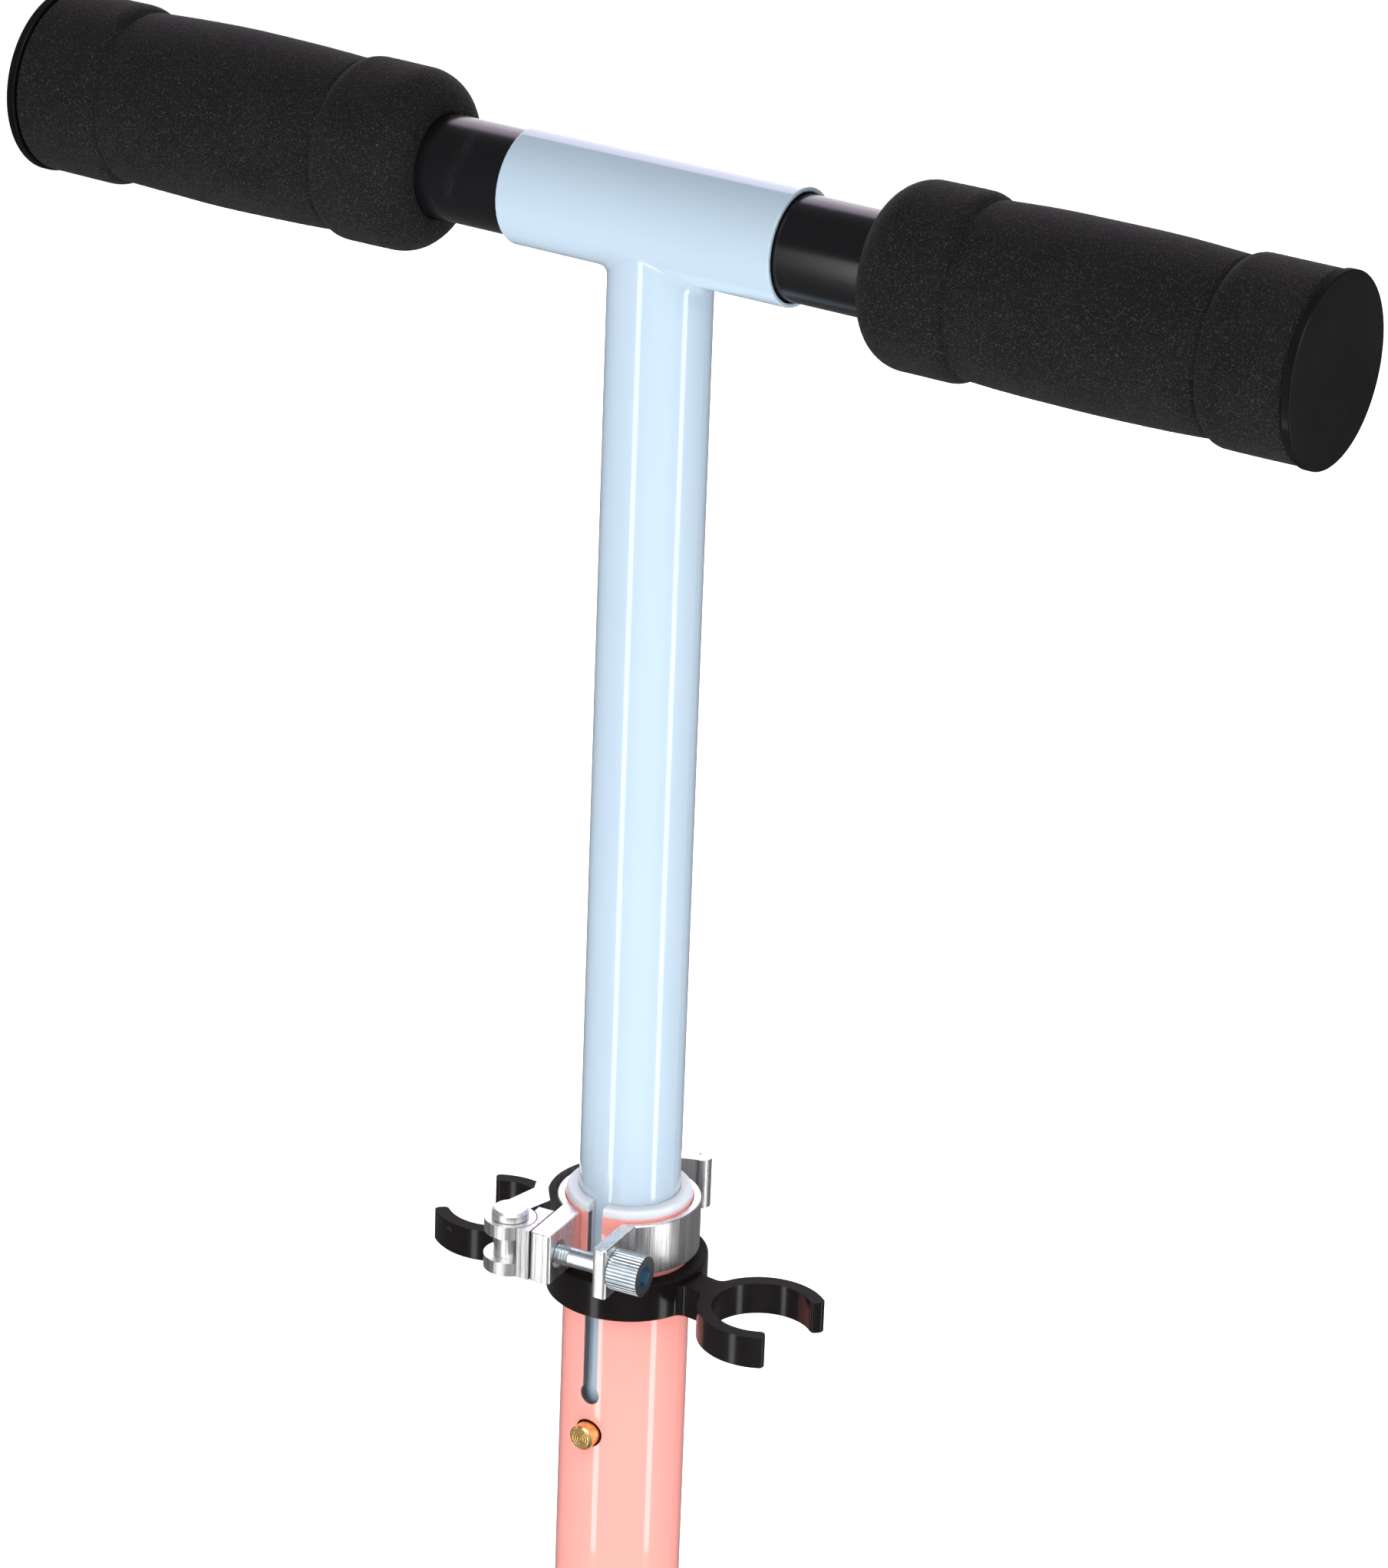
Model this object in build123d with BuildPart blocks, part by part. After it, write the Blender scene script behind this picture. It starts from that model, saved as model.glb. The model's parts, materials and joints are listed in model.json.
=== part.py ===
"""Steering column of a folding kick scooter: a T-bar that slides in a lower tube.

Millimetres, +Z up. The origin is the mouth of the steerer socket, at the foot of the
lower tube, on the tube's axis. +X is along the crossbar and -Y faces the rider.
"""

import os
from math import cos, radians, sin

from build123d import *

os.makedirs("parts", exist_ok=True)

# Lower tube
LOWER_R = 15.9
LOWER_BORE_R = 14.1
LOWER_TOP = 280.0
SOCKET_R = 14.35
SOCKET_DEPTH = 55.0
SOCKET_SLIT_WIDTH = 3.0
SOCKET_SLIT_LENGTH = 45.0
SLOT_WIDTH = 4.2
KEYHOLE_R = 2.75
KEYHOLE_Z = 229.5
HEIGHT_HOLE_R = 3.8
HEIGHT_HOLE_Z = 218.5
HEIGHT_STEP = 60.0
HEIGHT_STEPS = 3

# Upper tube and crossbar sleeve
UPPER_R = 12.7
UPPER_BORE_R = 11.3
UPPER_FOOT = 188.5
BAR_Z = 535.5
SLEEVE_R = 14.3
SLEEVE_BORE_R = 13.1
SLEEVE_HALF = 37.8
WELD_FILLET = 2.5

# Bushing between the tubes and guide plug at the upper tube's foot
BUSHING_BORE_R = 12.78
BUSHING_R = 14.05
BUSHING_LENGTH = 30.0
BUSHING_FLANGE_R = 15.7
BUSHING_FLANGE = 2.4
GUIDE_R = 13.9
GUIDE_FLANGE = 4.0
GUIDE_PLUG_R = 11.25
GUIDE_PLUG_LENGTH = 8.0
GUIDE_PLUG_WALL = 2.0

# Snap buttons
HEIGHT_BUTTON_R = 3.3
HEIGHT_BUTTON_OUT = 3.7
GRIP_BUTTON_R = 2.8
GRIP_BUTTON_OUT = 1.9
GRIP_BUTTON_X = 26.0
BUTTON_GAP = 0.15
BUTTON_FLANGE_R = 4.6
BUTTON_FLANGE = 1.4
BUTTON_SEAT = 10.1
SPRING_STRIP = 0.5
SPRING_WIDTH = 6.0
SPRING_BACK = 10.6

# Grips
GRIP_TUBE_R = 12.7
GRIP_TUBE_BORE_R = 11.3
GRIP_TUBE_START = 6.0
GRIP_TUBE_END = 173.8
FOAM_START = 62.0
FOAM_END = 174.0
FOAM_BORE_R = 12.75
FOAM_MOUTH_R = 13.4
FOAM_BAND_R = 22.4
FOAM_GROOVE_R = 20.4
FOAM_GROOVE = 1.6
FOAM_INNER_BAND = 24.5
FOAM_OUTER_BAND = 22.0
FOAM_SHOULDER = 8.5
CAP_R = 22.8
CAP_FLANGE = 2.2
CAP_EDGE = 0.35
CAP_PLUG_R = 11.25
CAP_PLUG_BORE_R = 9.4
CAP_PLUG_LENGTH = 20.0

# Quick-release clamp, turned a little about the tube
CLAMP_TURN = 5.5
CLAMP_TOP = 279.5
CLAMP_HEIGHT = 13.5
COLLAR_BORE_R = 15.95
COLLAR_R = 18.0
COLLAR_EDGE = 0.25
EAR_FRONT = 31.0
GAP_LEFT, GAP_RIGHT = -6.0, 5.7
EAR_LEFT, EAR_RIGHT = -11.7, 9.6
PAD_OUT, PAD_IN = -16.0, -11.85
PAD_BACK = 18.0
BOLT_Y = -26.0
PIVOT_X = -19.8
PIVOT_R = 4.0
PIVOT_HEAD_R = 4.7
PIVOT_HEAD = 2.4
PIVOT_HEAD_EDGE = 0.7
LOBE_R = 6.5
LOBE_PLAY = 0.25
LOBE_HEIGHT = 3.5
HEAD_POCKET_R = 7.4
BOLT_R = 2.5
BOLT_PLAY = 0.25
BOLT_HEAD_R = 5.2
BOLT_HEAD = 8.2
HEX_ACROSS = 5.0
THREAD_PITCH = 0.8
THREAD_DEPTH = 0.3
THREAD_END = -2.5
HEX_DEPTH = 4.0
KNURLS = 36
ARM_IN_R, ARM_OUT_R = 20.4, 23.9
ARM_START, ARM_ROOT, ARM_END = 221.0, 203.0, 129.5
TAIL_R = 49.5
TAIL_ARC = 26.0
TIP_R = 2.4
GRIP_GROOVE_R = 0.8

# Storage clip for the grips
CLIP_TURN = -5.4
CLIP_BOTTOM = 253.9
CLIP_BORE_R = 16.0
CLIP_R = 20.3
CLIP_HEIGHT = 10.1
JAW_X = 42.5
JAW_BORE_R = 12.6
JAW_R = 16.2
JAW_HEIGHT = 8.5
JAW_OPENING = 50.0
NECK_WIDTH = 8.0
NECK_FILLET = 2.5
JAW_TIP_FILLET = 1.2
CLIP_EDGE = 0.35

# Clamp on the fork steerer
STEERER_CLAMP_R = 20.5
STEERER_CLAMP_BOTTOM, STEERER_CLAMP_TOP = 4.0, 34.0
STEERER_EAR_X = 8.0
STEERER_EAR_BACK = 32.0
STEERER_SCREW_Y = 26.0
STEERER_SCREW_Z = (11.0, 27.0)
SCREW_R = 3.0
SCREW_PLAY = 0.25
SCREW_HEAD_R = 5.0
SCREW_HEAD = 6.0
NUT_ACROSS = 10.0
NUT = 5.0


def turned(angle, z=0.0):
    """Horizontal plane at height z, turned about the tube's axis."""
    x_way = (cos(radians(angle)), sin(radians(angle)), 0)
    return Plane(origin=(0, 0, z), x_dir=x_way, z_dir=(0, 0, 1))


def save(part, label):
    part.label = label
    export_step(part, f"parts/{label}.step")


def ring(z, height, outer, inner):
    """A plain ring on the tube's axis, added to the part that is being built."""
    with BuildSketch(Plane.XY.offset(z)) as face:
        Circle(outer)
        Circle(inner, mode=Mode.SUBTRACT)
    extrude(face.sketch, amount=height)


# ---------------------------------------------------------------- lower tube
FRONT = Plane.XZ  # its normal points to -Y

with BuildPart() as lower_tube:
    ring(0, LOWER_TOP, LOWER_R, LOWER_BORE_R)
    with BuildSketch():
        Circle(SOCKET_R)
    extrude(amount=SOCKET_DEPTH, mode=Mode.SUBTRACT)
    with BuildSketch(FRONT):
        with Locations((0, (KEYHOLE_Z + LOWER_TOP + 1) / 2)):
            Rectangle(SLOT_WIDTH, LOWER_TOP + 1 - KEYHOLE_Z)
        with Locations((0, KEYHOLE_Z)):
            Circle(KEYHOLE_R)
        for step in range(HEIGHT_STEPS):
            with Locations((0, HEIGHT_HOLE_Z - step * HEIGHT_STEP)):
                Circle(HEIGHT_HOLE_R)
    extrude(amount=LOWER_R + 1, mode=Mode.SUBTRACT)
    with BuildSketch(FRONT):
        with Locations((0, SOCKET_SLIT_LENGTH / 2)):
            Rectangle(SOCKET_SLIT_WIDTH, SOCKET_SLIT_LENGTH)
    extrude(amount=-LOWER_R - 1, mode=Mode.SUBTRACT)
save(lower_tube.part, "lower_tube")

# -------------------------------------------------- bushing and guide plug
with BuildPart() as tube_bushing:
    ring(LOWER_TOP - BUSHING_LENGTH, BUSHING_LENGTH, BUSHING_R, BUSHING_BORE_R)
    ring(LOWER_TOP, BUSHING_FLANGE, BUSHING_FLANGE_R, BUSHING_BORE_R)
    fillet(tube_bushing.edges().group_by(Axis.Z)[-1].sort_by(SortBy.LENGTH)[-1], 0.9)
    with BuildSketch(FRONT):
        with Locations((0, LOWER_TOP - BUSHING_LENGTH / 2)):
            Rectangle(SLOT_WIDTH, BUSHING_LENGTH + 10)
    extrude(amount=LOWER_R + 1, mode=Mode.SUBTRACT)
save(tube_bushing.part, "tube_bushing")

with BuildPart() as guide_plug:
    with BuildSketch(Plane.XY.offset(UPPER_FOOT - GUIDE_FLANGE)):
        Circle(GUIDE_R)
    extrude(amount=GUIDE_FLANGE)
    chamfer(guide_plug.edges().group_by(Axis.Z)[0], 0.8)
    with BuildSketch(Plane.XY.offset(UPPER_FOOT)):
        Circle(GUIDE_PLUG_R)
    extrude(amount=GUIDE_PLUG_LENGTH)
    with BuildSketch(Plane.XY.offset(UPPER_FOOT - GUIDE_FLANGE)):
        Circle(GUIDE_PLUG_R - GUIDE_PLUG_WALL)
    extrude(amount=GUIDE_FLANGE + GUIDE_PLUG_LENGTH, mode=Mode.SUBTRACT)
save(guide_plug.part, "guide_plug")

# ------------------------------------------------------- T-bar, one weldment
with BuildPart() as t_bar:
    with BuildSketch(Plane.XY.offset(UPPER_FOOT)):
        Circle(UPPER_R)
    extrude(amount=BAR_Z - UPPER_FOOT)
    with BuildSketch(Plane.YZ.offset(-SLEEVE_HALF)):
        with Locations((0, BAR_Z)):
            Circle(SLEEVE_R)
    extrude(amount=2 * SLEEVE_HALF)
    seam = t_bar.edges().filter_by(GeomType.CIRCLE, reverse=True).filter_by(
        GeomType.LINE, reverse=True
    )
    fillet(seam, WELD_FILLET)
    with BuildSketch(Plane.XY.offset(UPPER_FOOT)):
        Circle(UPPER_BORE_R)
    extrude(amount=BAR_Z - UPPER_FOOT, mode=Mode.SUBTRACT)
    with BuildSketch(Plane.YZ.offset(-SLEEVE_HALF)):
        with Locations((0, BAR_Z)):
            Circle(SLEEVE_R)
    extrude(amount=2 * SLEEVE_HALF)
    with BuildSketch(Plane.YZ.offset(-SLEEVE_HALF)):
        with Locations((0, BAR_Z)):
            Circle(SLEEVE_BORE_R)
    extrude(amount=2 * SLEEVE_HALF, mode=Mode.SUBTRACT)
    sleeve_ends = (
        t_bar.edges()
        .filter_by(GeomType.CIRCLE)
        .filter_by(lambda e: abs(abs(e.center().X) - SLEEVE_HALF) < 0.01)
    )
    fillet(sleeve_ends, 0.4)
    with BuildSketch(FRONT):
        with Locations((0, HEIGHT_HOLE_Z)):
            Circle(HEIGHT_BUTTON_R + BUTTON_GAP)
    extrude(amount=UPPER_R + 1, mode=Mode.SUBTRACT)
    with BuildSketch(FRONT):
        with Locations((-GRIP_BUTTON_X, BAR_Z), (GRIP_BUTTON_X, BAR_Z)):
            Circle(GRIP_BUTTON_R + 2 * BUTTON_GAP)
    extrude(amount=-SLEEVE_R - 1, mode=Mode.SUBTRACT)
save(t_bar.part, "t_bar")


# ------------------------------------------------------------- snap buttons
def button_profile(radius, length):
    """Half section of a snap button: along the second axis from seat to tip."""
    with BuildLine() as outline:
        Polyline(
            (0, BUTTON_SEAT - BUTTON_FLANGE),
            (BUTTON_FLANGE_R, BUTTON_SEAT - BUTTON_FLANGE),
            (BUTTON_FLANGE_R, BUTTON_SEAT - 0.3),
            (radius, BUTTON_SEAT - 0.3),
            (radius, length - 0.5),
            (radius - 0.5, length),
            (0, length),
            close=True,
        )
    make_face(outline.line)


def spring_profile():
    """V-shaped leaf: back leg on the bore's far wall, front leg behind the button."""
    seat = BUTTON_SEAT - BUTTON_FLANGE - 0.1
    with BuildLine() as outline:
        leaf = FilletPolyline(
            (seat, 7),
            (seat, -7),
            (-2, -25),
            (-SPRING_BACK, -20),
            (-SPRING_BACK, 12),
            radius=2.0,
        )
        offset(leaf, amount=SPRING_STRIP, side=Side.RIGHT)
    make_face(outline.line)


with BuildPart() as height_button:
    with BuildSketch(Plane.XY.offset(HEIGHT_HOLE_Z)):
        button_profile(HEIGHT_BUTTON_R, LOWER_R + HEIGHT_BUTTON_OUT)
    revolve(axis=Axis((0, 0, HEIGHT_HOLE_Z), (0, 1, 0)))
save(height_button.part.rotate(Axis((0, 0, HEIGHT_HOLE_Z), (0, 0, 1)), 180), "height_button")

spring_side = Plane(origin=(-SPRING_WIDTH / 2, 0, HEIGHT_HOLE_Z), x_dir=(0, -1, 0), z_dir=(-1, 0, 0))
with BuildPart() as height_spring:
    with BuildSketch(spring_side):
        spring_profile()
    extrude(amount=-SPRING_WIDTH)
save(height_spring.part, "height_spring")

# -------------------------------------------------------------- both grips
for side, way in (("left", -1), ("right", 1)):
    button_at = (way * GRIP_BUTTON_X, 0, BAR_Z)

    with BuildPart() as grip_tube:
        with BuildSketch(Plane.YZ.offset(way * GRIP_TUBE_START)):
            with Locations((0, BAR_Z)):
                Circle(GRIP_TUBE_R)
                Circle(GRIP_TUBE_BORE_R, mode=Mode.SUBTRACT)
        extrude(amount=way * (GRIP_TUBE_END - GRIP_TUBE_START))
        with BuildSketch(FRONT):
            with Locations((way * GRIP_BUTTON_X, BAR_Z)):
                Circle(GRIP_BUTTON_R + BUTTON_GAP)
        extrude(amount=-GRIP_TUBE_R - 1, mode=Mode.SUBTRACT)
    save(grip_tube.part, f"{side}_grip_tube")

    with BuildPart() as foam_grip:
        with BuildSketch(Plane(origin=(0, 0, BAR_Z), x_dir=(way, 0, 0), z_dir=(0, -way, 0))):
            inner_groove = FOAM_START + FOAM_INNER_BAND
            outer_groove = FOAM_END - FOAM_OUTER_BAND
            with BuildLine():
                rise = FOAM_BAND_R - FOAM_MOUTH_R
                EllipticalCenterArc(
                    (FOAM_START + FOAM_SHOULDER, FOAM_MOUTH_R),
                    FOAM_SHOULDER,
                    rise,
                    start_angle=90,
                    arc_size=90,
                )
                Polyline(
                    (FOAM_START + FOAM_SHOULDER, FOAM_BAND_R),
                    (inner_groove - FOAM_GROOVE, FOAM_BAND_R),
                    (inner_groove, FOAM_GROOVE_R),
                )
                ThreePointArc(
                    (inner_groove, FOAM_GROOVE_R),
                    ((inner_groove + outer_groove) / 2, FOAM_BAND_R - 0.3),
                    (outer_groove, FOAM_GROOVE_R),
                )
                Polyline(
                    (outer_groove, FOAM_GROOVE_R),
                    (outer_groove + FOAM_GROOVE, FOAM_BAND_R),
                    (FOAM_END - 1, FOAM_BAND_R),
                    (FOAM_END - 0.1, FOAM_BAND_R - 0.8),
                    (FOAM_END - 0.1, FOAM_BORE_R),
                    (FOAM_START, FOAM_BORE_R),
                    (FOAM_START, FOAM_MOUTH_R),
                )
            make_face()
        revolve(axis=Axis((0, 0, BAR_Z), (1, 0, 0)))
    save(foam_grip.part, f"{side}_foam_grip")

    with BuildPart() as end_cap:
        with BuildSketch(Plane.YZ.offset(way * FOAM_END)):
            with Locations((0, BAR_Z)):
                Circle(CAP_R)
        extrude(amount=way * CAP_FLANGE)
        rims = end_cap.edges().filter_by(GeomType.CIRCLE)
        fillet(rims, CAP_EDGE)
        with BuildSketch(Plane.YZ.offset(way * FOAM_END)):
            with Locations((0, BAR_Z)):
                Circle(CAP_PLUG_R)
                Circle(CAP_PLUG_BORE_R, mode=Mode.SUBTRACT)
        extrude(amount=-way * CAP_PLUG_LENGTH)
    save(end_cap.part, f"{side}_end_cap")

    with BuildPart() as grip_button:
        with BuildSketch(Plane(button_at)):
            button_profile(GRIP_BUTTON_R, SLEEVE_R + GRIP_BUTTON_OUT)
        revolve(axis=Axis(button_at, (0, 1, 0)))
    save(grip_button.part, f"{side}_grip_button")

    with BuildPart() as grip_spring:
        leaf_side = Plane(
            origin=(way * GRIP_BUTTON_X, 0, BAR_Z - way * SPRING_WIDTH / 2),
            x_dir=(0, 1, 0),
            z_dir=(0, 0, -way),
        )
        with BuildSketch(leaf_side):
            spring_profile()
        extrude(amount=-SPRING_WIDTH)
    save(grip_spring.part, f"{side}_grip_spring")

# ------------------------------------------------------ quick-release clamp
CLAMP_BOTTOM = CLAMP_TOP - CLAMP_HEIGHT
CLAMP_MIDDLE = CLAMP_TOP - CLAMP_HEIGHT / 2
clamp = turned(CLAMP_TURN)
clamp_y = (-sin(radians(CLAMP_TURN)), cos(radians(CLAMP_TURN)), 0)
bolt_line = Plane(
    origin=clamp.from_local_coords((0, BOLT_Y, CLAMP_MIDDLE)), x_dir=clamp_y, z_dir=clamp.x_dir
)


def block(x0, x1, y0, y1):
    """Rectangle from corner to corner in the sketch that is being drawn."""
    with Locations(((x0 + x1) / 2, (y0 + y1) / 2)):
        Rectangle(x1 - x0, y1 - y0)


with BuildPart() as clamp_collar:
    with BuildSketch(clamp.offset(CLAMP_BOTTOM)):
        Circle(COLLAR_R)
        block(EAR_LEFT, EAR_RIGHT, -EAR_FRONT, -12)
        Circle(COLLAR_BORE_R, mode=Mode.SUBTRACT)
        block(GAP_LEFT, GAP_RIGHT, -EAR_FRONT, 0)
    extrude(amount=CLAMP_HEIGHT)
    with BuildSketch(clamp.offset(CLAMP_BOTTOM)):
        block(GAP_LEFT, GAP_RIGHT, -EAR_FRONT - 1, 0)
    extrude(amount=CLAMP_HEIGHT, mode=Mode.SUBTRACT)
    with BuildSketch(clamp.offset(CLAMP_BOTTOM)):
        Circle(COLLAR_BORE_R)
    extrude(amount=CLAMP_HEIGHT, mode=Mode.SUBTRACT)
    corners = clamp_collar.edges().filter_by(Axis.Z).sort_by(Axis.Y)
    fillet(corners[:4], 1.0)
    collar_rims = clamp_collar.edges().group_by(Axis.Z)
    chamfer(collar_rims[-1] + collar_rims[0], COLLAR_EDGE)
    with BuildSketch(bolt_line.offset(EAR_LEFT - 1)):
        Circle(BOLT_R + BOLT_PLAY)
    extrude(amount=EAR_RIGHT - EAR_LEFT + 2, mode=Mode.SUBTRACT)
    with BuildSketch(bolt_line.offset(GAP_LEFT + 0.5)):
        Circle(BOLT_R + 1.1)
    extrude(amount=-2.5, mode=Mode.SUBTRACT)
save(clamp_collar.part, "clamp_collar")

with BuildPart() as clamp_pad:
    with BuildSketch(clamp.offset(CLAMP_BOTTOM)):
        block(PAD_OUT, PAD_IN, -EAR_FRONT, -PAD_BACK)
        with Locations((PIVOT_X, BOLT_Y)):
            Circle(LOBE_R + LOBE_PLAY, mode=Mode.SUBTRACT)
    extrude(amount=CLAMP_HEIGHT)
    with BuildSketch(bolt_line.offset(PAD_OUT - 1)):
        Circle(BOLT_R + BOLT_PLAY)
    extrude(amount=PAD_IN - PAD_OUT + 2, mode=Mode.SUBTRACT)
save(clamp_pad.part, "clamp_pad")

with BuildPart() as barrel_nut:
    with BuildSketch(clamp.offset(CLAMP_BOTTOM + 0.3)):
        with Locations((PIVOT_X, BOLT_Y)):
            Circle(PIVOT_R)
    extrude(amount=CLAMP_HEIGHT)
    with BuildSketch(clamp.offset(CLAMP_TOP + 0.15)):
        with Locations((PIVOT_X, BOLT_Y)):
            Circle(PIVOT_HEAD_R)
    extrude(amount=PIVOT_HEAD)
    chamfer(barrel_nut.edges().group_by(Axis.Z)[-1], PIVOT_HEAD_EDGE)
    with BuildSketch(bolt_line.offset(PIVOT_X - PIVOT_R - 1)):
        Circle(BOLT_R + 0.05)
    extrude(amount=2 * PIVOT_R + 2, mode=Mode.SUBTRACT)
save(barrel_nut.part, "barrel_nut")

with BuildPart() as clamp_bolt:
    bolt_start = PIVOT_X - PIVOT_R + 0.5
    crests = int((THREAD_END - bolt_start) / THREAD_PITCH)
    along = [bolt_start + THREAD_PITCH * k / 2 for k in range(2 * crests + 1)]
    thread = [(x, BOLT_R - THREAD_DEPTH * (k % 2 == 0)) for k, x in enumerate(along)]
    with BuildSketch(Plane(bolt_line.origin, x_dir=bolt_line.z_dir, z_dir=(0, 0, 1))):
        with BuildLine():
            Polyline(
                (bolt_start, 0),
                *thread,
                (THREAD_END, BOLT_R),
                (EAR_RIGHT + 0.2, BOLT_R),
                (EAR_RIGHT + 0.2, 0),
                close=True,
            )
        make_face()
    revolve(axis=Axis(bolt_line.origin, bolt_line.z_dir))
    with BuildSketch(bolt_line.offset(EAR_RIGHT + 0.1)):
        Circle(BOLT_HEAD_R)
        with PolarLocations(BOLT_HEAD_R, KNURLS):
            Rectangle(0.36, 0.36, rotation=45, mode=Mode.SUBTRACT)
    extrude(amount=BOLT_HEAD)
    with BuildSketch(bolt_line.offset(EAR_RIGHT + 0.1 + BOLT_HEAD)):
        RegularPolygon(HEX_ACROSS / 2, 6, major_radius=False)
    extrude(amount=-HEX_DEPTH, mode=Mode.SUBTRACT)
save(clamp_bolt.part, "clamp_bolt")

ARM_SWEEP = ARM_START - ARM_END
with BuildPart() as quick_release_lever:
    with BuildSketch(clamp.offset(CLAMP_BOTTOM)):
        with BuildLine():
            inner = CenterArc((0, 0), ARM_IN_R, ARM_START, -ARM_SWEEP)
            inner_tail = JernArc(inner @ 1, inner % 1, TAIL_R, -TAIL_ARC)
            outer = CenterArc((0, 0), ARM_OUT_R, ARM_START, -ARM_SWEEP)
            outer_tail = JernArc(outer @ 1, outer % 1, TAIL_R + ARM_OUT_R - ARM_IN_R, -TAIL_ARC)
            Line(inner @ 0, outer @ 0)
            Line(inner_tail @ 1, outer_tail @ 1)
        make_face()
        with Locations(inner_tail @ 1 + (outer_tail @ 1 - inner_tail @ 1) * 0.62):
            Circle(TIP_R)
        with BuildLine():
            Polyline(
                (PIVOT_X - LOBE_R * cos(radians(10)), BOLT_Y + LOBE_R * sin(radians(10))),
                (ARM_OUT_R * cos(radians(ARM_ROOT)), ARM_OUT_R * sin(radians(ARM_ROOT))),
                (ARM_IN_R * cos(radians(ARM_ROOT)), ARM_IN_R * sin(radians(ARM_ROOT))),
                (ARM_IN_R * cos(radians(ARM_START)), ARM_IN_R * sin(radians(ARM_START))),
                (PIVOT_X + LOBE_R * cos(radians(70)), BOLT_Y + LOBE_R * sin(radians(70))),
                close=True,
            )
        make_face()
        with Locations((PIVOT_X, BOLT_Y)):
            Circle(LOBE_R)
            Circle(PIVOT_R + 0.06, mode=Mode.SUBTRACT)
    extrude(amount=CLAMP_HEIGHT)
    with BuildSketch(clamp.offset(CLAMP_BOTTOM + LOBE_HEIGHT)):
        with Locations((PIVOT_X, BOLT_Y)):
            Circle(HEAD_POCKET_R)
    extrude(amount=CLAMP_HEIGHT - 2 * LOBE_HEIGHT, mode=Mode.SUBTRACT)
    with BuildSketch(clamp.offset(CLAMP_BOTTOM)):
        for back in range(3):
            with Locations(outer_tail @ (0.94 - 0.16 * back)):
                Circle(GRIP_GROOVE_R)
    extrude(amount=CLAMP_HEIGHT, mode=Mode.SUBTRACT)
save(quick_release_lever.part, "quick_release_lever")

# ------------------------------------------------------------- storage clip
with BuildPart() as handle_clip:
    with BuildSketch(turned(CLIP_TURN, CLIP_BOTTOM)):
        block(-JAW_X, JAW_X, -NECK_WIDTH / 2, NECK_WIDTH / 2)
        with Locations((-JAW_X, 0), (JAW_X, 0)):
            Circle(JAW_R)
    extrude(amount=JAW_HEIGHT)
    with BuildSketch(turned(CLIP_TURN, CLIP_BOTTOM)):
        Circle(CLIP_R)
    extrude(amount=CLIP_HEIGHT)
    with BuildSketch(turned(CLIP_TURN, CLIP_BOTTOM)):
        Circle(CLIP_BORE_R)
        with Locations((-JAW_X, 0), (JAW_X, 0)):
            Circle(JAW_BORE_R)
        for way in (-1, 1):
            reach = 2 * JAW_R
            half = reach * sin(radians(JAW_OPENING))
            along = reach * cos(radians(JAW_OPENING))
            with BuildLine():
                Polyline(
                    (way * JAW_X, 0),
                    (way * (JAW_X + along), half),
                    (way * (JAW_X + along), -half),
                    close=True,
                )
            make_face()
    extrude(amount=CLIP_HEIGHT, mode=Mode.SUBTRACT)
    uprights = handle_clip.edges().filter_by(Axis.Z)
    tips = uprights.filter_by(lambda e: abs(e.center().X) > JAW_X)
    necks = uprights.filter_by(lambda e: CLIP_R - 3 < abs(e.center().X) < JAW_X - 10)
    fillet(tips, JAW_TIP_FILLET)
    fillet(necks, NECK_FILLET)
    clip_rims = handle_clip.edges().group_by(Axis.Z)
    chamfer(clip_rims[0] + clip_rims[-1], CLIP_EDGE)
save(handle_clip.part, "handle_clip")

# ------------------------------------------------ clamp on the fork steerer
EAR_OUT = STEERER_EAR_X
with BuildPart() as steerer_clamp:
    with BuildSketch(Plane.XY.offset(STEERER_CLAMP_BOTTOM)):
        Circle(STEERER_CLAMP_R)
        block(-EAR_OUT, EAR_OUT, 15, STEERER_EAR_BACK)
    extrude(amount=STEERER_CLAMP_TOP - STEERER_CLAMP_BOTTOM)
    back_corners = steerer_clamp.edges().filter_by(Axis.Z).sort_by(Axis.Y)[-2:]
    fillet(back_corners, 3)
    with BuildSketch(Plane.XY.offset(STEERER_CLAMP_BOTTOM)):
        Circle(COLLAR_BORE_R)
        block(-SOCKET_SLIT_WIDTH / 2, SOCKET_SLIT_WIDTH / 2, 0, STEERER_EAR_BACK + 1)
    extrude(amount=STEERER_CLAMP_TOP - STEERER_CLAMP_BOTTOM, mode=Mode.SUBTRACT)
    with BuildSketch(Plane.YZ.offset(-EAR_OUT - 1)):
        for z in STEERER_SCREW_Z:
            with Locations((STEERER_SCREW_Y, z)):
                Circle(SCREW_R + SCREW_PLAY)
    extrude(amount=2 * EAR_OUT + 2, mode=Mode.SUBTRACT)
save(steerer_clamp.part, "steerer_clamp")

with BuildPart() as steerer_clamp_screws:
    for z in STEERER_SCREW_Z:
        with BuildSketch(Plane.YZ.offset(EAR_OUT + 0.05)):
            with Locations((STEERER_SCREW_Y, z)):
                Circle(SCREW_HEAD_R)
        extrude(amount=SCREW_HEAD)
        with BuildSketch(Plane.YZ.offset(EAR_OUT + 0.05)):
            with Locations((STEERER_SCREW_Y, z)):
                Circle(SCREW_R)
        extrude(amount=-2 * EAR_OUT - NUT - 1)
        with BuildSketch(Plane.YZ.offset(EAR_OUT + 0.05 + SCREW_HEAD)):
            with Locations((STEERER_SCREW_Y, z)):
                RegularPolygon(2.5, 6, major_radius=False)
        extrude(amount=-3.5, mode=Mode.SUBTRACT)
save(steerer_clamp_screws.part, "steerer_clamp_screws")

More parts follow.
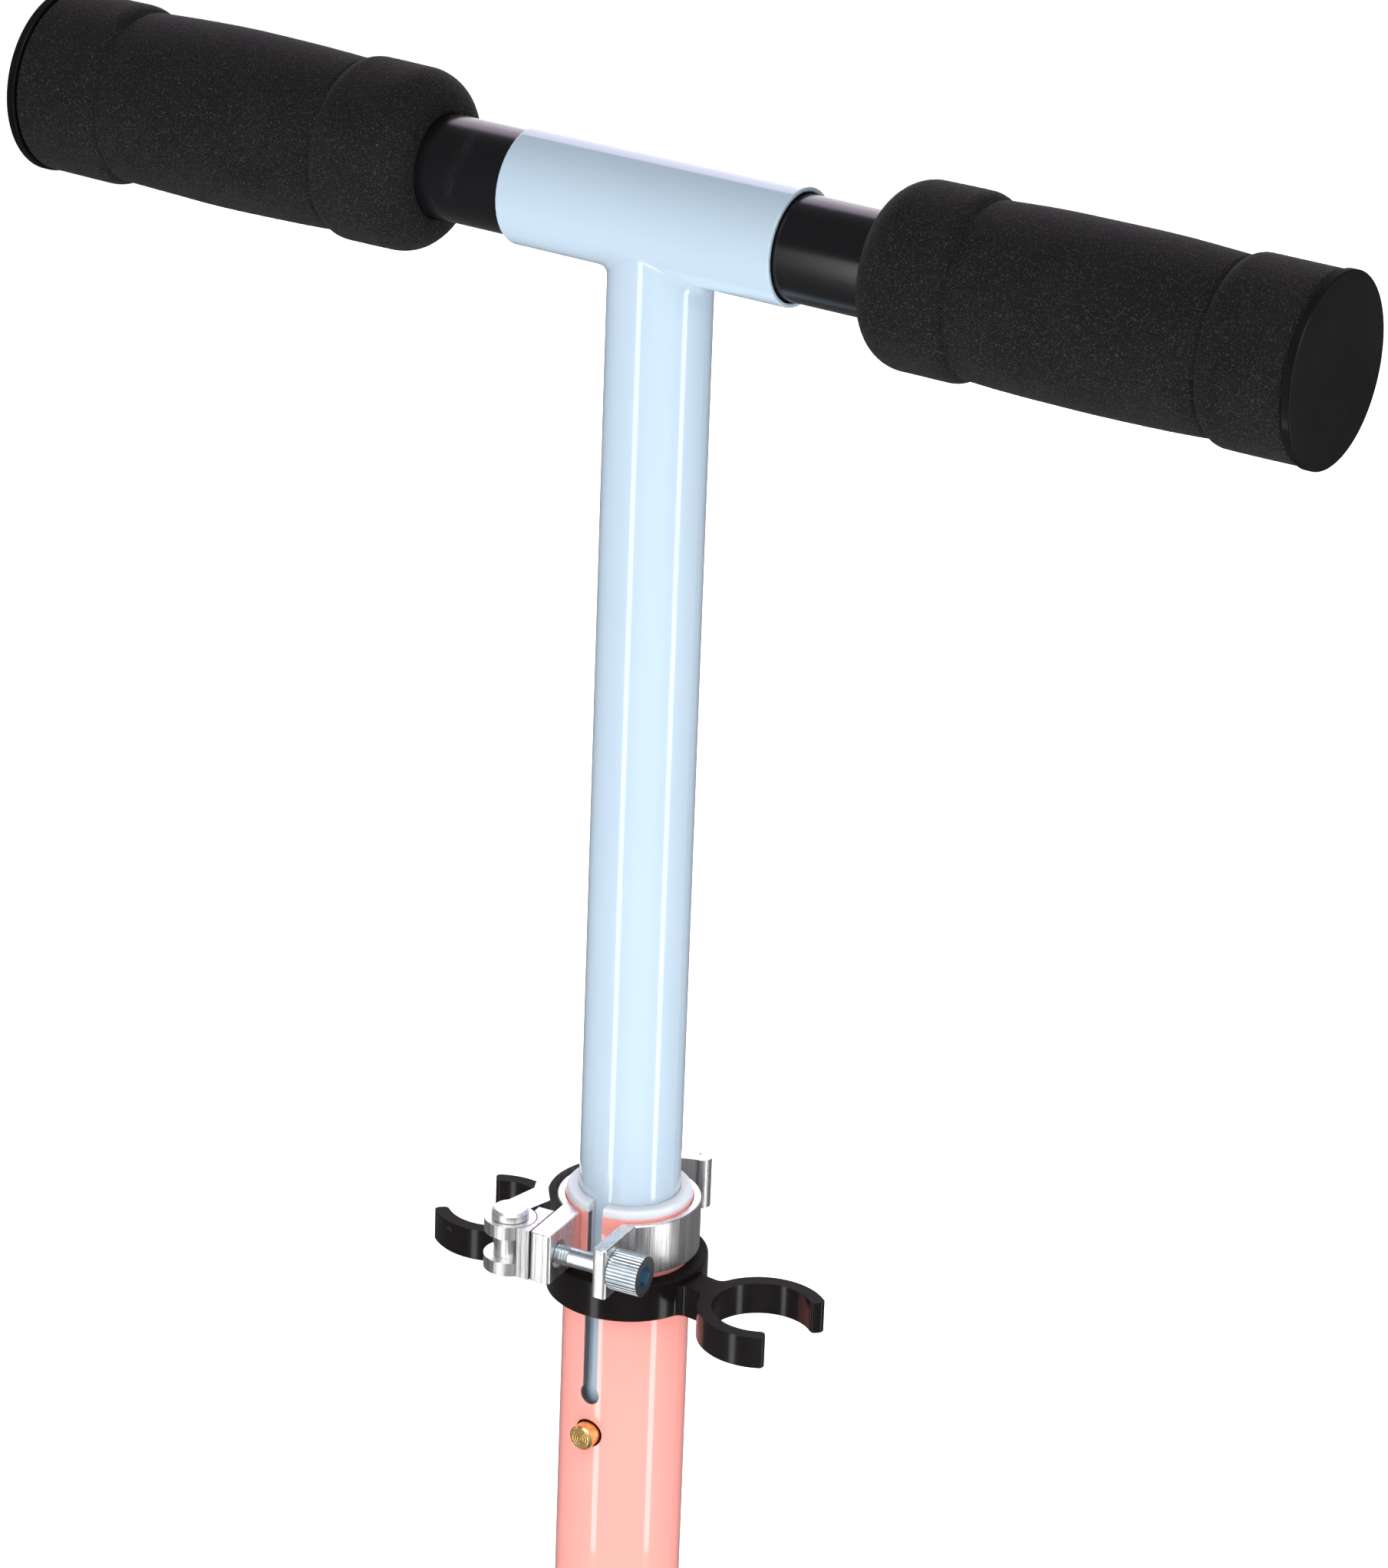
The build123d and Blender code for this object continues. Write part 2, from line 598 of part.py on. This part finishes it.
with BuildPart() as steerer_clamp_nuts:
    with BuildSketch(Plane.YZ.offset(-EAR_OUT - 0.05)):
        for z in STEERER_SCREW_Z:
            with Locations((STEERER_SCREW_Y, z)):
                RegularPolygon(NUT_ACROSS / 2, 6, major_radius=False)
                Circle(SCREW_R + 0.05, mode=Mode.SUBTRACT)
    extrude(amount=-NUT)
save(steerer_clamp_nuts.part, "steerer_clamp_nuts")
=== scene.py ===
"""Looks of a scooter steering column: enamelled tubes, foam grips, bright clamp, plastic clip."""

import json
from math import cos, pi, radians, sin

import bpy
from mathutils import Matrix, Vector, noise


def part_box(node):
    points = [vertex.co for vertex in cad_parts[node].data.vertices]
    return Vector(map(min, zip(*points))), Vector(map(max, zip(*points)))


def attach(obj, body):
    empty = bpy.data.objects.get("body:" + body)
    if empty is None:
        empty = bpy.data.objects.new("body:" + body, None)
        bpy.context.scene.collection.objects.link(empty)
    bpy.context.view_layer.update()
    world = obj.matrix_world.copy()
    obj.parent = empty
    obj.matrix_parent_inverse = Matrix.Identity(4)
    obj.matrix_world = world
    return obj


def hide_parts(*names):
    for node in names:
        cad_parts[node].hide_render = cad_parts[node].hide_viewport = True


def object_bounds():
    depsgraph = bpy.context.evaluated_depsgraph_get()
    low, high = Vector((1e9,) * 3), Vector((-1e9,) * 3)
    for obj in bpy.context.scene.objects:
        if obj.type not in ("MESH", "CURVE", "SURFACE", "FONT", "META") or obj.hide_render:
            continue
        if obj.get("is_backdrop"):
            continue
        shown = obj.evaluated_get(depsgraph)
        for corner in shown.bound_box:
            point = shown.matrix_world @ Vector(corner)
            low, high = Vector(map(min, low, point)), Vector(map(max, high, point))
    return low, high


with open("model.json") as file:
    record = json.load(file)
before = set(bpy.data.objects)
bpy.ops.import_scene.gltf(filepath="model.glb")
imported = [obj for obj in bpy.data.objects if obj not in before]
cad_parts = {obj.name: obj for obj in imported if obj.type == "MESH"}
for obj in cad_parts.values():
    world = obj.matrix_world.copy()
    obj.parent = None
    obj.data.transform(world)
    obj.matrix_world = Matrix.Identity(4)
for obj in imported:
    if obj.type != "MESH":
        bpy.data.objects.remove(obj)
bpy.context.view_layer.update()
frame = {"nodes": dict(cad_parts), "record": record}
nodes = frame["nodes"]
MM = 0.001


# ------------------------------------------------------------------ shader maths
class Field:
    """A value or colour that varies over a surface; arithmetic on it adds nodes."""

    def __init__(self, finish, socket):
        self.finish = finish
        self.socket = socket

    def math(self, operation, first, second=None):
        values = {0: first}
        if second is not None:
            values[1] = second
        made = self.finish.node("ShaderNodeMath", {"operation": operation}, values)
        return Field(self.finish, made.outputs[0])

    def __add__(self, other):
        return self.math("ADD", self, other)

    def __sub__(self, other):
        return self.math("SUBTRACT", self, other)

    def __mul__(self, other):
        return self.math("MULTIPLY", self, other)

    def __rsub__(self, other):
        return self.math("SUBTRACT", other, self)

    def __pow__(self, other):
        return self.math("POWER", self, other)

    __radd__ = __add__
    __rmul__ = __mul__

    def sine(self):
        return self.math("SINE", self)

    def absolute(self):
        return self.math("ABSOLUTE", self)

    def between(self, low, high):
        """0 at low and 1 at high, smooth between and level beyond; low may be the larger."""
        settings = {"interpolation_type": "SMOOTHSTEP", "clamp": True}
        made = self.finish.node("ShaderNodeMapRange", settings, {0: self, 1: low, 2: high})
        return Field(self.finish, made.outputs[0])


class Finish:
    """One material: nodes are added by node(), and the surface reads what it is given."""

    def __init__(self, name, **constants):
        self.material = bpy.data.materials.new(name)
        self.material.use_nodes = True
        self.tree = self.material.node_tree
        self.surface = self.tree.nodes["Principled BSDF"]
        self.set(**constants)
        place = self.node("ShaderNodeTexCoord").outputs["Object"]
        self.place = Field(self, place)
        split = self.node("ShaderNodeSeparateXYZ", {}, {0: self.place})
        self.x, self.y, self.z = (Field(self, out) for out in split.outputs)

    def node(self, kind, settings=None, values=None):
        made = self.tree.nodes.new(kind)
        for key, value in (settings or {}).items():
            setattr(made, key, value)
        for key, value in (values or {}).items():
            if isinstance(value, Field):
                self.tree.links.new(value.socket, made.inputs[key])
            else:
                made.inputs[key].default_value = value
        return made

    def set(self, **inputs):
        """Sets or links inputs of the surface, named like base_color or coat_weight."""
        for key, value in inputs.items():
            socket = self.surface.inputs[key.replace("_", " ").title().replace("Ior", "IOR")]
            if isinstance(value, Field):
                self.tree.links.new(value.socket, socket)
            elif isinstance(value, tuple):
                socket.default_value = (*value, 1.0)
            else:
                socket.default_value = value

    def stretched(self, x=1.0, y=1.0, z=1.0):
        made = self.node("ShaderNodeMapping", {}, {0: self.place, 3: (x, y, z)})
        return Field(self, made.outputs[0])

    def noise(self, scale, detail=3.0, rough=0.5, place=None):
        """Cloudy field from 0 to 1; scale is in features per metre."""
        values = {"Vector": place or self.place, "Scale": scale, "Detail": detail}
        made = self.node("ShaderNodeTexNoise", {}, {**values, "Roughness": rough})
        return Field(self, made.outputs[0])

    def cells(self, scale):
        """Distance from the middle of each grain; scale is in grains per metre."""
        made = self.node("ShaderNodeTexVoronoi", {}, {"Vector": self.place, "Scale": scale})
        return Field(self, made.outputs[0])

    def mix(self, amount, first, second):
        """Colour between two colours."""
        settings = {"data_type": "RGBA", "clamp_factor": True}
        first = first if isinstance(first, Field) else (*first, 1.0)
        second = second if isinstance(second, Field) else (*second, 1.0)
        made = self.node("ShaderNodeMix", settings, {0: amount, 6: first, 7: second})
        return Field(self, made.outputs[2])

    def bump(self, height, distance, strength=1.0, under=None):
        values = {"Height": height, "Distance": distance, "Strength": strength}
        if under:
            values["Normal"] = under
        made = self.node("ShaderNodeBump", {}, values)
        return Field(self, made.outputs[0])

    def level(self):
        """1 on level faces, 0 on upright ones."""
        facing = self.node("ShaderNodeTexCoord").outputs["Normal"]
        split = self.node("ShaderNodeSeparateXYZ", {}, {0: Field(self, facing)})
        return Field(self, split.outputs[2]).absolute().between(0.5, 0.9)


# ---------------------------------------------------------------------- finishes
def enamel(name, colour, deep, dust, painted_shade_below=0.0):
    """Gloss enamel on steel tube: slow drift, orange peel and dust. Below the radius given last,
    measured round Z, the slot walls, bore and hole walls are painted near black as painted shade."""
    paint = Finish(name, specular_ior_level=0.2, coat_roughness=0.04, coat_ior=1.5)
    drift = paint.noise(9.0, 4.0, 0.55)
    specks = paint.cells(900.0).between(0.10, 0.04) * paint.noise(140.0).between(0.55, 0.62)
    shade = paint.mix(drift.between(0.35, 0.7), colour, deep)
    shade = paint.mix(specks * 0.25, shade, dust)
    # Painted shade: surfaces nearer the Z axis than the given radius (slot walls, bore, hole
    # walls) are painted near black.
    if painted_shade_below:
        radius = (paint.x * paint.x + paint.y * paint.y) ** 0.5
        shade_mask = radius.between(painted_shade_below, painted_shade_below - 0.2 * MM)
        shade = paint.mix(shade_mask, shade, (0.035, 0.024, 0.024))
    paint.set(base_color=shade)
    paint.set(roughness=paint.noise(60.0, 2.0) * 0.06 + 0.17, coat_weight=drift * 0.1 + 0.9)
    peel = paint.bump(paint.noise(420.0, 2.0, 0.4), 0.00002, 0.35)
    paint.set(normal=paint.bump(paint.noise(26.0, 2.0), 0.0002, 0.12, peel))
    return paint.material


def extruded_aluminium(name, tone):
    """Saw-cut extrusion: die lines along Z, the same grain on the cut faces, smudges."""
    metal = Finish(name, specular_ior_level=0.5, anisotropic=0.35)
    die = metal.noise(1.0, 4.0, 0.6, metal.stretched(2600.0, 2600.0, 16.0))
    coarse = metal.noise(1.0, 2.0, 0.5, metal.stretched(520.0, 520.0, 5.0))
    smudge = metal.noise(75.0, 4.0, 0.6)
    lines = die * 0.6 + coarse * 0.4
    dark = tuple(0.62 * part for part in tone)
    metal.set(base_color=metal.mix(lines.between(0.62, 0.30), tone, dark))
    metal.set(metallic=1.0, roughness=0.17 + 0.16 * smudge + 0.10 * die)
    metal.set(normal=metal.bump(lines, 0.0002, 0.7))
    return metal.material


def anodised_black():
    """Black gloss tube with drawing lines along its length."""
    skin = Finish("black_gloss_tube", specular_ior_level=0.52)
    draw = skin.noise(1.0, 3.0, 0.5, skin.stretched(10.0, 1500.0, 1500.0))
    rub = skin.noise(1.0, 4.0, 0.6, skin.stretched(120.0, 40.0, 40.0))
    scuff = rub.between(0.60, 0.78)
    skin.set(base_color=skin.mix(scuff * 0.5, (0.003, 0.003, 0.004), (0.014, 0.013, 0.015)))
    skin.set(roughness=0.16 + 0.10 * draw + 0.12 * scuff)
    skin.set(normal=skin.bump(draw, 0.00003, 0.3))
    return skin.material


def closed_cell_foam():
    """Moulded nitrile foam: fine pores, pale dusty flecks and a velvety sheen."""
    foam = Finish("closed_cell_foam", specular_ior_level=0.15)
    foam.set(sheen_weight=0.02, sheen_roughness=0.5)
    pores = foam.cells(1500.0)
    flecks = foam.noise(2600.0, 2.0, 0.7)
    patches = foam.noise(55.0, 4.0, 0.6)
    dark, worn = (0.0040, 0.0036, 0.0036), (0.0074, 0.0066, 0.0064)
    shade = foam.mix(patches.between(0.3, 0.75), dark, worn)
    lit = foam.mix(flecks.between(0.54, 0.70) * 0.7, shade, (0.062, 0.057, 0.055))
    foam.set(base_color=foam.mix(pores.between(0.35, 0.10) * 0.5, lit, (0.006, 0.006, 0.006)))
    foam.set(roughness=0.74 + 0.16 * patches)
    grain = foam.bump(flecks, 0.00025, 0.45)
    foam.set(normal=foam.bump(pores.between(0.0, 0.5), 0.00022, 0.6, grain))
    return foam.material


def moulded_black(name, base, roughness, peel, gloss):
    """Injection-moulded black plastic: flow haze and scuffs; upright walls are glossier."""
    skin = Finish(name, specular_ior_level=0.08, coat_roughness=0.12)
    haze = skin.noise(38.0, 4.0, 0.6)
    scratch = skin.noise(1.0, 3.0, 0.7, skin.stretched(60.0, 900.0, 500.0)).between(0.66, 0.76)
    pale = tuple(2.4 * part for part in base)
    shade = skin.mix(haze.between(0.35, 0.8) * 0.6, base, pale)
    skin.set(base_color=skin.mix(scratch * 0.3, shade, (0.07, 0.065, 0.065)))
    skin.set(roughness=roughness + 0.10 * haze + 0.10 * scratch + skin.level() * 0.4)
    skin.set(coat_weight=gloss - gloss * skin.level())
    skin.set(normal=skin.bump(skin.noise(1300.0, 2.0, 0.5), 0.00004, peel))
    return skin.material


def frosted_nylon():
    """Natural nylon: milky, lets some light through."""
    nylon = Finish("frosted_nylon", transmission_weight=0.08, ior=1.5, subsurface_weight=0.3)
    cloud = nylon.noise(90.0, 3.0, 0.5)
    nylon.set(base_color=nylon.mix(cloud, (0.82, 0.73, 0.77), (0.89, 0.81, 0.84)))
    nylon.set(roughness=0.32 + 0.15 * cloud)
    nylon.set(normal=nylon.bump(nylon.noise(700.0), 0.00004, 0.4))
    return nylon.material


def turned_metal(name, tone, dark, roughness, centre=None):
    """Machined metal with patches of tarnish, and turning rings round a centre seen along Y."""
    metal = Finish(name, specular_ior_level=0.5)
    tarnish = metal.noise(420.0, 4.0, 0.6)
    fine = metal.noise(2600.0, 2.0, 0.6)
    metal.set(base_color=metal.mix(tarnish.between(0.35, 0.75), tone, dark), metallic=1.0)
    metal.set(roughness=roughness + 0.16 * tarnish)
    height = fine
    if centre:
        x, z = metal.x - centre.x, metal.z - centre.z
        rings = ((x * x + z * z) ** 0.5 * 9000.0).sine()
        height = rings * 0.5 + fine
    metal.set(normal=metal.bump(height, 0.00005, 0.5))
    return metal.material


def knurled_bolt():
    """Zinc-plated socket screw: straight knurl round the head, its grooves darkened as painted
    shade, bluish hexagon socket.
    """
    joints = frame["record"]["behaviour"]["joints"]
    turn = next(joint for joint in joints if joint["name"] == "clamp_bolt_turn")
    foot, axis = Vector(turn["pos_m"]), Vector(turn["axis"])
    head_r, socket_r, head_end, ridges = 5.0 * MM, 3.2 * MM, 17.9 * MM, 36
    screw = Finish("knurled_zinc_bolt", specular_ior_level=0.5)
    x, y, up = screw.x - foot.x, screw.y - foot.y, screw.z - foot.z
    along = x * axis.x + y * axis.y
    side = y * axis.x - x * axis.y
    radius = (side * side + up * up) ** 0.5
    tarnish = screw.noise(420.0, 4.0, 0.6)
    ridge = (side.math("ARCTAN2", side, up) * ridges).sine().between(-0.7, 0.5)
    # Painted shade: the knurl's grooves are painted dark as stripes round the head.
    groove_shade = radius.between(head_r - 0.5 * MM, head_r - 0.1 * MM) * (1 - ridge)
    hollow = radius.between(socket_r, socket_r - 0.2 * MM)
    hollow = hollow * along.between(head_end - 0.1 * MM, head_end - 0.3 * MM)
    hollow = hollow * along.between(head_end - 5 * MM, head_end - 4.5 * MM)
    shade = screw.mix(tarnish.between(0.35, 0.75), (0.74, 0.79, 0.83), (0.50, 0.58, 0.65))
    shade = screw.mix(groove_shade * 0.75, shade, (0.16, 0.19, 0.22))
    screw.set(base_color=screw.mix(hollow, shade, (0.36, 0.60, 0.74)), metallic=1.0)
    screw.set(roughness=0.24 + 0.16 * tarnish)
    screw.set(normal=screw.bump(screw.noise(2600.0, 2.0, 0.6), 0.00003, 0.4))
    return screw.material


def paper_floor():
    floor = Finish("pale_studio_floor", roughness=0.9, specular_ior_level=0.0)
    floor.set(emission_color=(1.0, 1.0, 1.0), emission_strength=0.8)
    floor.set(base_color=floor.mix(floor.noise(3.0), (0.93, 0.93, 0.93), (0.95, 0.95, 0.95)))
    return floor.material


def middle(node):
    """Centre of a node's box."""
    low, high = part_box(node)
    return (low + high) / 2


# Radius round Z within which the salmon tube's slot walls and bore get painted shade.
SHADED_WALLS_BELOW_R = 15.7 * MM
PINK = enamel(
    "salmon_enamel",
    (0.87, 0.33, 0.287),
    (0.85, 0.312, 0.272),
    (1.0, 0.75, 0.70),
    painted_shade_below=SHADED_WALLS_BELOW_R,
)
BLUE = enamel("ice_blue_enamel", (0.415, 0.520, 0.615), (0.398, 0.504, 0.600), (0.85, 0.9, 0.95))
BRIGHT = extruded_aluminium("extruded_aluminium", (0.86, 0.86, 0.87))
SADDLE = extruded_aluminium("saddle_alloy", (0.62, 0.61, 0.62))
BLACK_TUBE = anodised_black()
FOAM = closed_cell_foam()
CAP = moulded_black("cap_plastic", (0.0028, 0.0026, 0.0026), 0.30, 0.5, 0.08)
CLIP = moulded_black("clip_plastic", (0.0060, 0.0050, 0.0050), 0.15, 0.3, 0.22)
NYLON = frosted_nylon()
BRASS = turned_metal(
    "turned_brass", (0.98, 0.68, 0.28), (0.66, 0.38, 0.12), 0.20, middle("height_button")
)
ZINC = turned_metal("zinc_plate", (0.66, 0.72, 0.77), (0.42, 0.50, 0.58), 0.24)
BOLT = knurled_bolt()
SPRING = turned_metal("spring_steel", (0.55, 0.55, 0.56), (0.3, 0.3, 0.32), 0.3)

NODE_FINISH = {
    "lower_tube": PINK,
    "tube_bushing": NYLON,
    "clamp_collar": BRIGHT,
    "clamp_pad": SADDLE,
    "barrel_nut": BRIGHT,
    "steerer_clamp": BRIGHT,
    "steerer_clamp_screws": ZINC,
    "steerer_clamp_nuts": ZINC,
    "t_bar": BLUE,
    "guide_plug": NYLON,
    "height_spring": SPRING,
    "height_button": BRASS,
    "clamp_bolt": BOLT,
    "quick_release_lever": BRIGHT,
    "handle_clip": CLIP,
}
for side in ("left", "right"):
    NODE_FINISH[f"{side}_grip_tube"] = BLACK_TUBE
    NODE_FINISH[f"{side}_end_cap"] = CAP
    NODE_FINISH[f"{side}_grip_button"] = BRASS
    NODE_FINISH[f"{side}_grip_spring"] = SPRING
for name, finish in NODE_FINISH.items():
    for place in nodes[name].material_slots:
        place.material = finish


# ------------------------------------------------------------------- foam grips
TURNS = 300
ROWS = 230
ROUND_STEPS = 26
LIP_STEPS = 5
BAND_R, GROOVE_R, BARREL_R = 22.4 * MM, 20.3 * MM, 21.9 * MM
INNER_BAND, OUTER_BAND = 25.0 * MM, 22.5 * MM
GROOVE_STEP, GROOVE_RAMP = 0.6 * MM, 1.1 * MM
BAND_ROUND = 3.6 * MM
BARREL_FULLNESS = 0.8
BORE_R, MOUTH_R, SEAT_R = 12.8 * MM, 13.35 * MM, 17 * MM
SHOULDER, LIP = 9.0 * MM, 1.2 * MM
SKIN_FROM_R = 14 * MM
SKIN_GRAIN = 0.06 * MM
LUMPS, PITS, WAVES = 900, 2100, 60  # features per metre
WAVE_DEPTH = 3.0


def ease(t):
    t = min(max(t, 0.0), 1.0)
    return t * t * (3 - 2 * t)


def grip_radius(u, length):
    """Outer radius at u from the inboard end: two round-edged bands, a bowed barrel between."""
    inner_groove, outer_groove = INNER_BAND, length - OUTER_BAND
    if inner_groove < u < outer_groove:
        t = (u - inner_groove) / (outer_groove - inner_groove)
        near = min(u - inner_groove, outer_groove - u)
        step = GROOVE_STEP * ease(near / GROOVE_RAMP)
        bow = (BARREL_R - GROOVE_R - GROOVE_STEP) * sin(pi * t) ** BARREL_FULLNESS
        return GROOVE_R + step + bow
    near = max(inner_groove - u, u - outer_groove)
    short = max(0.0, 1 - near / BAND_ROUND)
    return BAND_R - (BAND_R - GROOVE_R) * (1 - (1 - short * short) ** 0.5)


def grip_section(length):
    """(distance from the inboard end, radius) round the closed wall of a grip."""
    points = [(0.0, BORE_R), (0.0, MOUTH_R)]
    rise = grip_radius(SHOULDER, length) - MOUTH_R
    for k in range(1, ROUND_STEPS):
        a = 0.5 * pi * k / ROUND_STEPS
        points.append((SHOULDER * (1 - cos(a)), MOUTH_R + rise * sin(a)))
    for k in range(ROWS):
        u = SHOULDER + (length - LIP - SHOULDER) * k / (ROWS - 1)
        points.append((u, grip_radius(u, length)))
    edge = grip_radius(length - LIP, length)
    for k in range(1, LIP_STEPS + 1):
        a = 0.5 * pi * k / LIP_STEPS
        points.append((length - LIP + LIP * sin(a), edge - LIP * (1 - cos(a))))
    return [*points, (length, SEAT_R), (length, BORE_R)]


def foam_grip(side):
    node = f"{side}_foam_grip"
    low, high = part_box(node)
    way = 1 if low.x > 0 else -1
    centre_z = (low.z + high.z) / 2
    inboard = low.x if way > 0 else high.x
    section = grip_section(high.x - low.x)
    verts = []
    for u, radius in section:
        for k in range(TURNS):
            a = 2 * pi * k / TURNS
            point = Vector((inboard + way * u, radius * cos(a), centre_z + radius * sin(a)))
            if radius > SKIN_FROM_R:
                lump = noise.noise(point * LUMPS) * 0.5 + noise.noise(point * PITS)
                wave = noise.noise(point * WAVES) * WAVE_DEPTH
                point += Vector((0, cos(a), sin(a))) * SKIN_GRAIN * (lump + wave - 1.0)
            verts.append(point)
    faces = []
    rings = len(section)
    for row in range(rings):
        for k in range(TURNS):
            a = row * TURNS + k
            b = row * TURNS + (k + 1) % TURNS
            c = (row + 1) % rings * TURNS + (k + 1) % TURNS
            d = (row + 1) % rings * TURNS + k
            faces.append((a, b, c, d) if way < 0 else (a, d, c, b))
    mesh = bpy.data.meshes.new(f"{side}_foam")
    mesh.from_pydata(verts, [], faces)
    mesh.polygons.foreach_set("use_smooth", [True] * len(faces))
    mesh.materials.append(FOAM)
    grip = bpy.data.objects.new(f"{side}_foam", mesh)
    bpy.context.collection.objects.link(grip)
    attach(grip, f"{side}_grip")
    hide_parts(node)


for side in ("left", "right"):
    foam_grip(side)


# --------------------------------------------------------------- floor and wall
FLOOR_HALF = 8.0
WALL_R = 7.9
WALL_HEIGHT = 9.0
WALL_SIDES = 48


def staged(name, verts, faces, finish):
    mesh = bpy.data.meshes.new(name)
    mesh.from_pydata(verts, [], faces)
    mesh.materials.append(finish)
    sheet = bpy.data.objects.new(name, mesh)
    bpy.context.collection.objects.link(sheet)
    sheet.visible_glossy = False
    sheet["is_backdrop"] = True
    return sheet


def studio():
    """Pale floor, and a pale wall round it that gives no light of its own."""
    paper = paper_floor()
    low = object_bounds()[0][2]
    signs = [(-1, -1), (1, -1), (1, 1), (-1, 1)]
    corners = [(x * FLOOR_HALF, y * FLOOR_HALF, low) for x, y in signs]
    staged("studio_floor", corners, [(0, 1, 2, 3)], paper)
    turns = [2 * pi * k / WALL_SIDES for k in range(WALL_SIDES)]
    heights = (low, low + WALL_HEIGHT)
    verts = [(WALL_R * cos(a), WALL_R * sin(a), z) for z in heights for a in turns]
    after = [(k, (k + 1) % WALL_SIDES) for k in range(WALL_SIDES)]
    faces = [(k, WALL_SIDES + k, WALL_SIDES + following, following) for k, following in after]
    wall = staged("studio_wall", verts, faces, paper)
    wall.visible_diffuse = wall.visible_shadow = False


# ----------------------------------------------------------------------- lights
CAMERA_AZIMUTH = 31.546
CAMERA_ELEVATION = 23.208
CAMERA_ROLL = 2.153
CAMERA_DISTANCE = 1.4989
CAMERA_LENS = 141.25
TARGET_RISE = 0.1
TARGET_RIGHT, TARGET_UP = 0.012648, 0.010573
WORLD_LIGHT = 0.16


def lamp(name, azimuth, elevation, distance, size, energy, colour=(1, 1, 1), aim=(0, 0, 0.3)):
    """Soft box round the object; azimuth is counted from the camera's."""
    a, e = radians(CAMERA_AZIMUTH + azimuth), radians(elevation)
    away = Vector((sin(a) * cos(e), -cos(a) * cos(e), sin(e)))
    data = bpy.data.lights.new(name, "AREA")
    data.shape = "RECTANGLE"
    data.size, data.size_y = size
    data.energy = energy
    data.color = colour
    light = bpy.data.objects.new(name, data)
    light.location = Vector(aim) + away * distance
    light.rotation_euler = away.to_track_quat("Z", "Y").to_euler()
    light.visible_camera = False
    bpy.context.collection.objects.link(light)


studio()
lamp("strip_left", -44, 0, 0.33, (0.06, 0.62), 0.6, aim=(0, 0, 0.31))
lamp("strip_right", 54, 0, 0.33, (0.06, 0.62), 0.6, aim=(0, 0, 0.31))
lamp("low_front", 5, 0, 0.5, (0.45, 0.36), 0.2, aim=(0, 0, 0.18))
lamp("key_front", -8, 22, 2.0, (1.6, 1.2), 6.5)
lamp("overhead", 0, 55, 1.6, (1.2, 0.9), 15.0)
lamp("back_high", 180, 38, 1.6, (2.0, 0.7), 10.0, (0.92, 0.80, 1.0))
lamp("back_wall", 180, 8, 1.6, (2.2, 1.1), 13.0, (1.0, 0.95, 0.97))
lamp("side_left", -100, 10, 1.6, (0.9, 1.2), 2.5)
lamp("side_right", 80, 10, 1.6, (0.9, 1.2), 2.5)

world = bpy.data.worlds.new("studio")
world.use_nodes = True
world.node_tree.nodes["Background"].inputs[0].default_value = (1.0, 1.0, 1.0, 1.0)
world.node_tree.nodes["Background"].inputs[1].default_value = WORLD_LIGHT
scene = bpy.context.scene
scene.world = world
scene.view_settings.view_transform = "Standard"
scene.view_settings.look = "None"


# ---------------------------------------------------------------------- camera
def set_camera():
    a, e, roll = (radians(v) for v in (CAMERA_AZIMUTH, CAMERA_ELEVATION, CAMERA_ROLL))
    back = Vector((sin(a) * cos(e), -cos(a) * cos(e), sin(e)))
    level = Vector((cos(a), sin(a), 0))
    up = back.cross(level)
    right = level * cos(roll) + up * sin(roll)
    top = up * cos(roll) - level * sin(roll)
    collar_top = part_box("clamp_collar")[1].z
    target = Vector((0, 0, collar_top + TARGET_RISE))
    target += right * TARGET_RIGHT + top * TARGET_UP
    data = bpy.data.cameras.new("view")
    data.lens = CAMERA_LENS
    data.clip_start, data.clip_end = 0.05, 50
    camera = bpy.data.objects.new("view", data)
    rows = Matrix((right, top, back)).transposed().to_4x4()
    camera.matrix_world = Matrix.Translation(target + back * CAMERA_DISTANCE) @ rows
    bpy.context.collection.objects.link(camera)
    scene.camera = camera


set_camera()
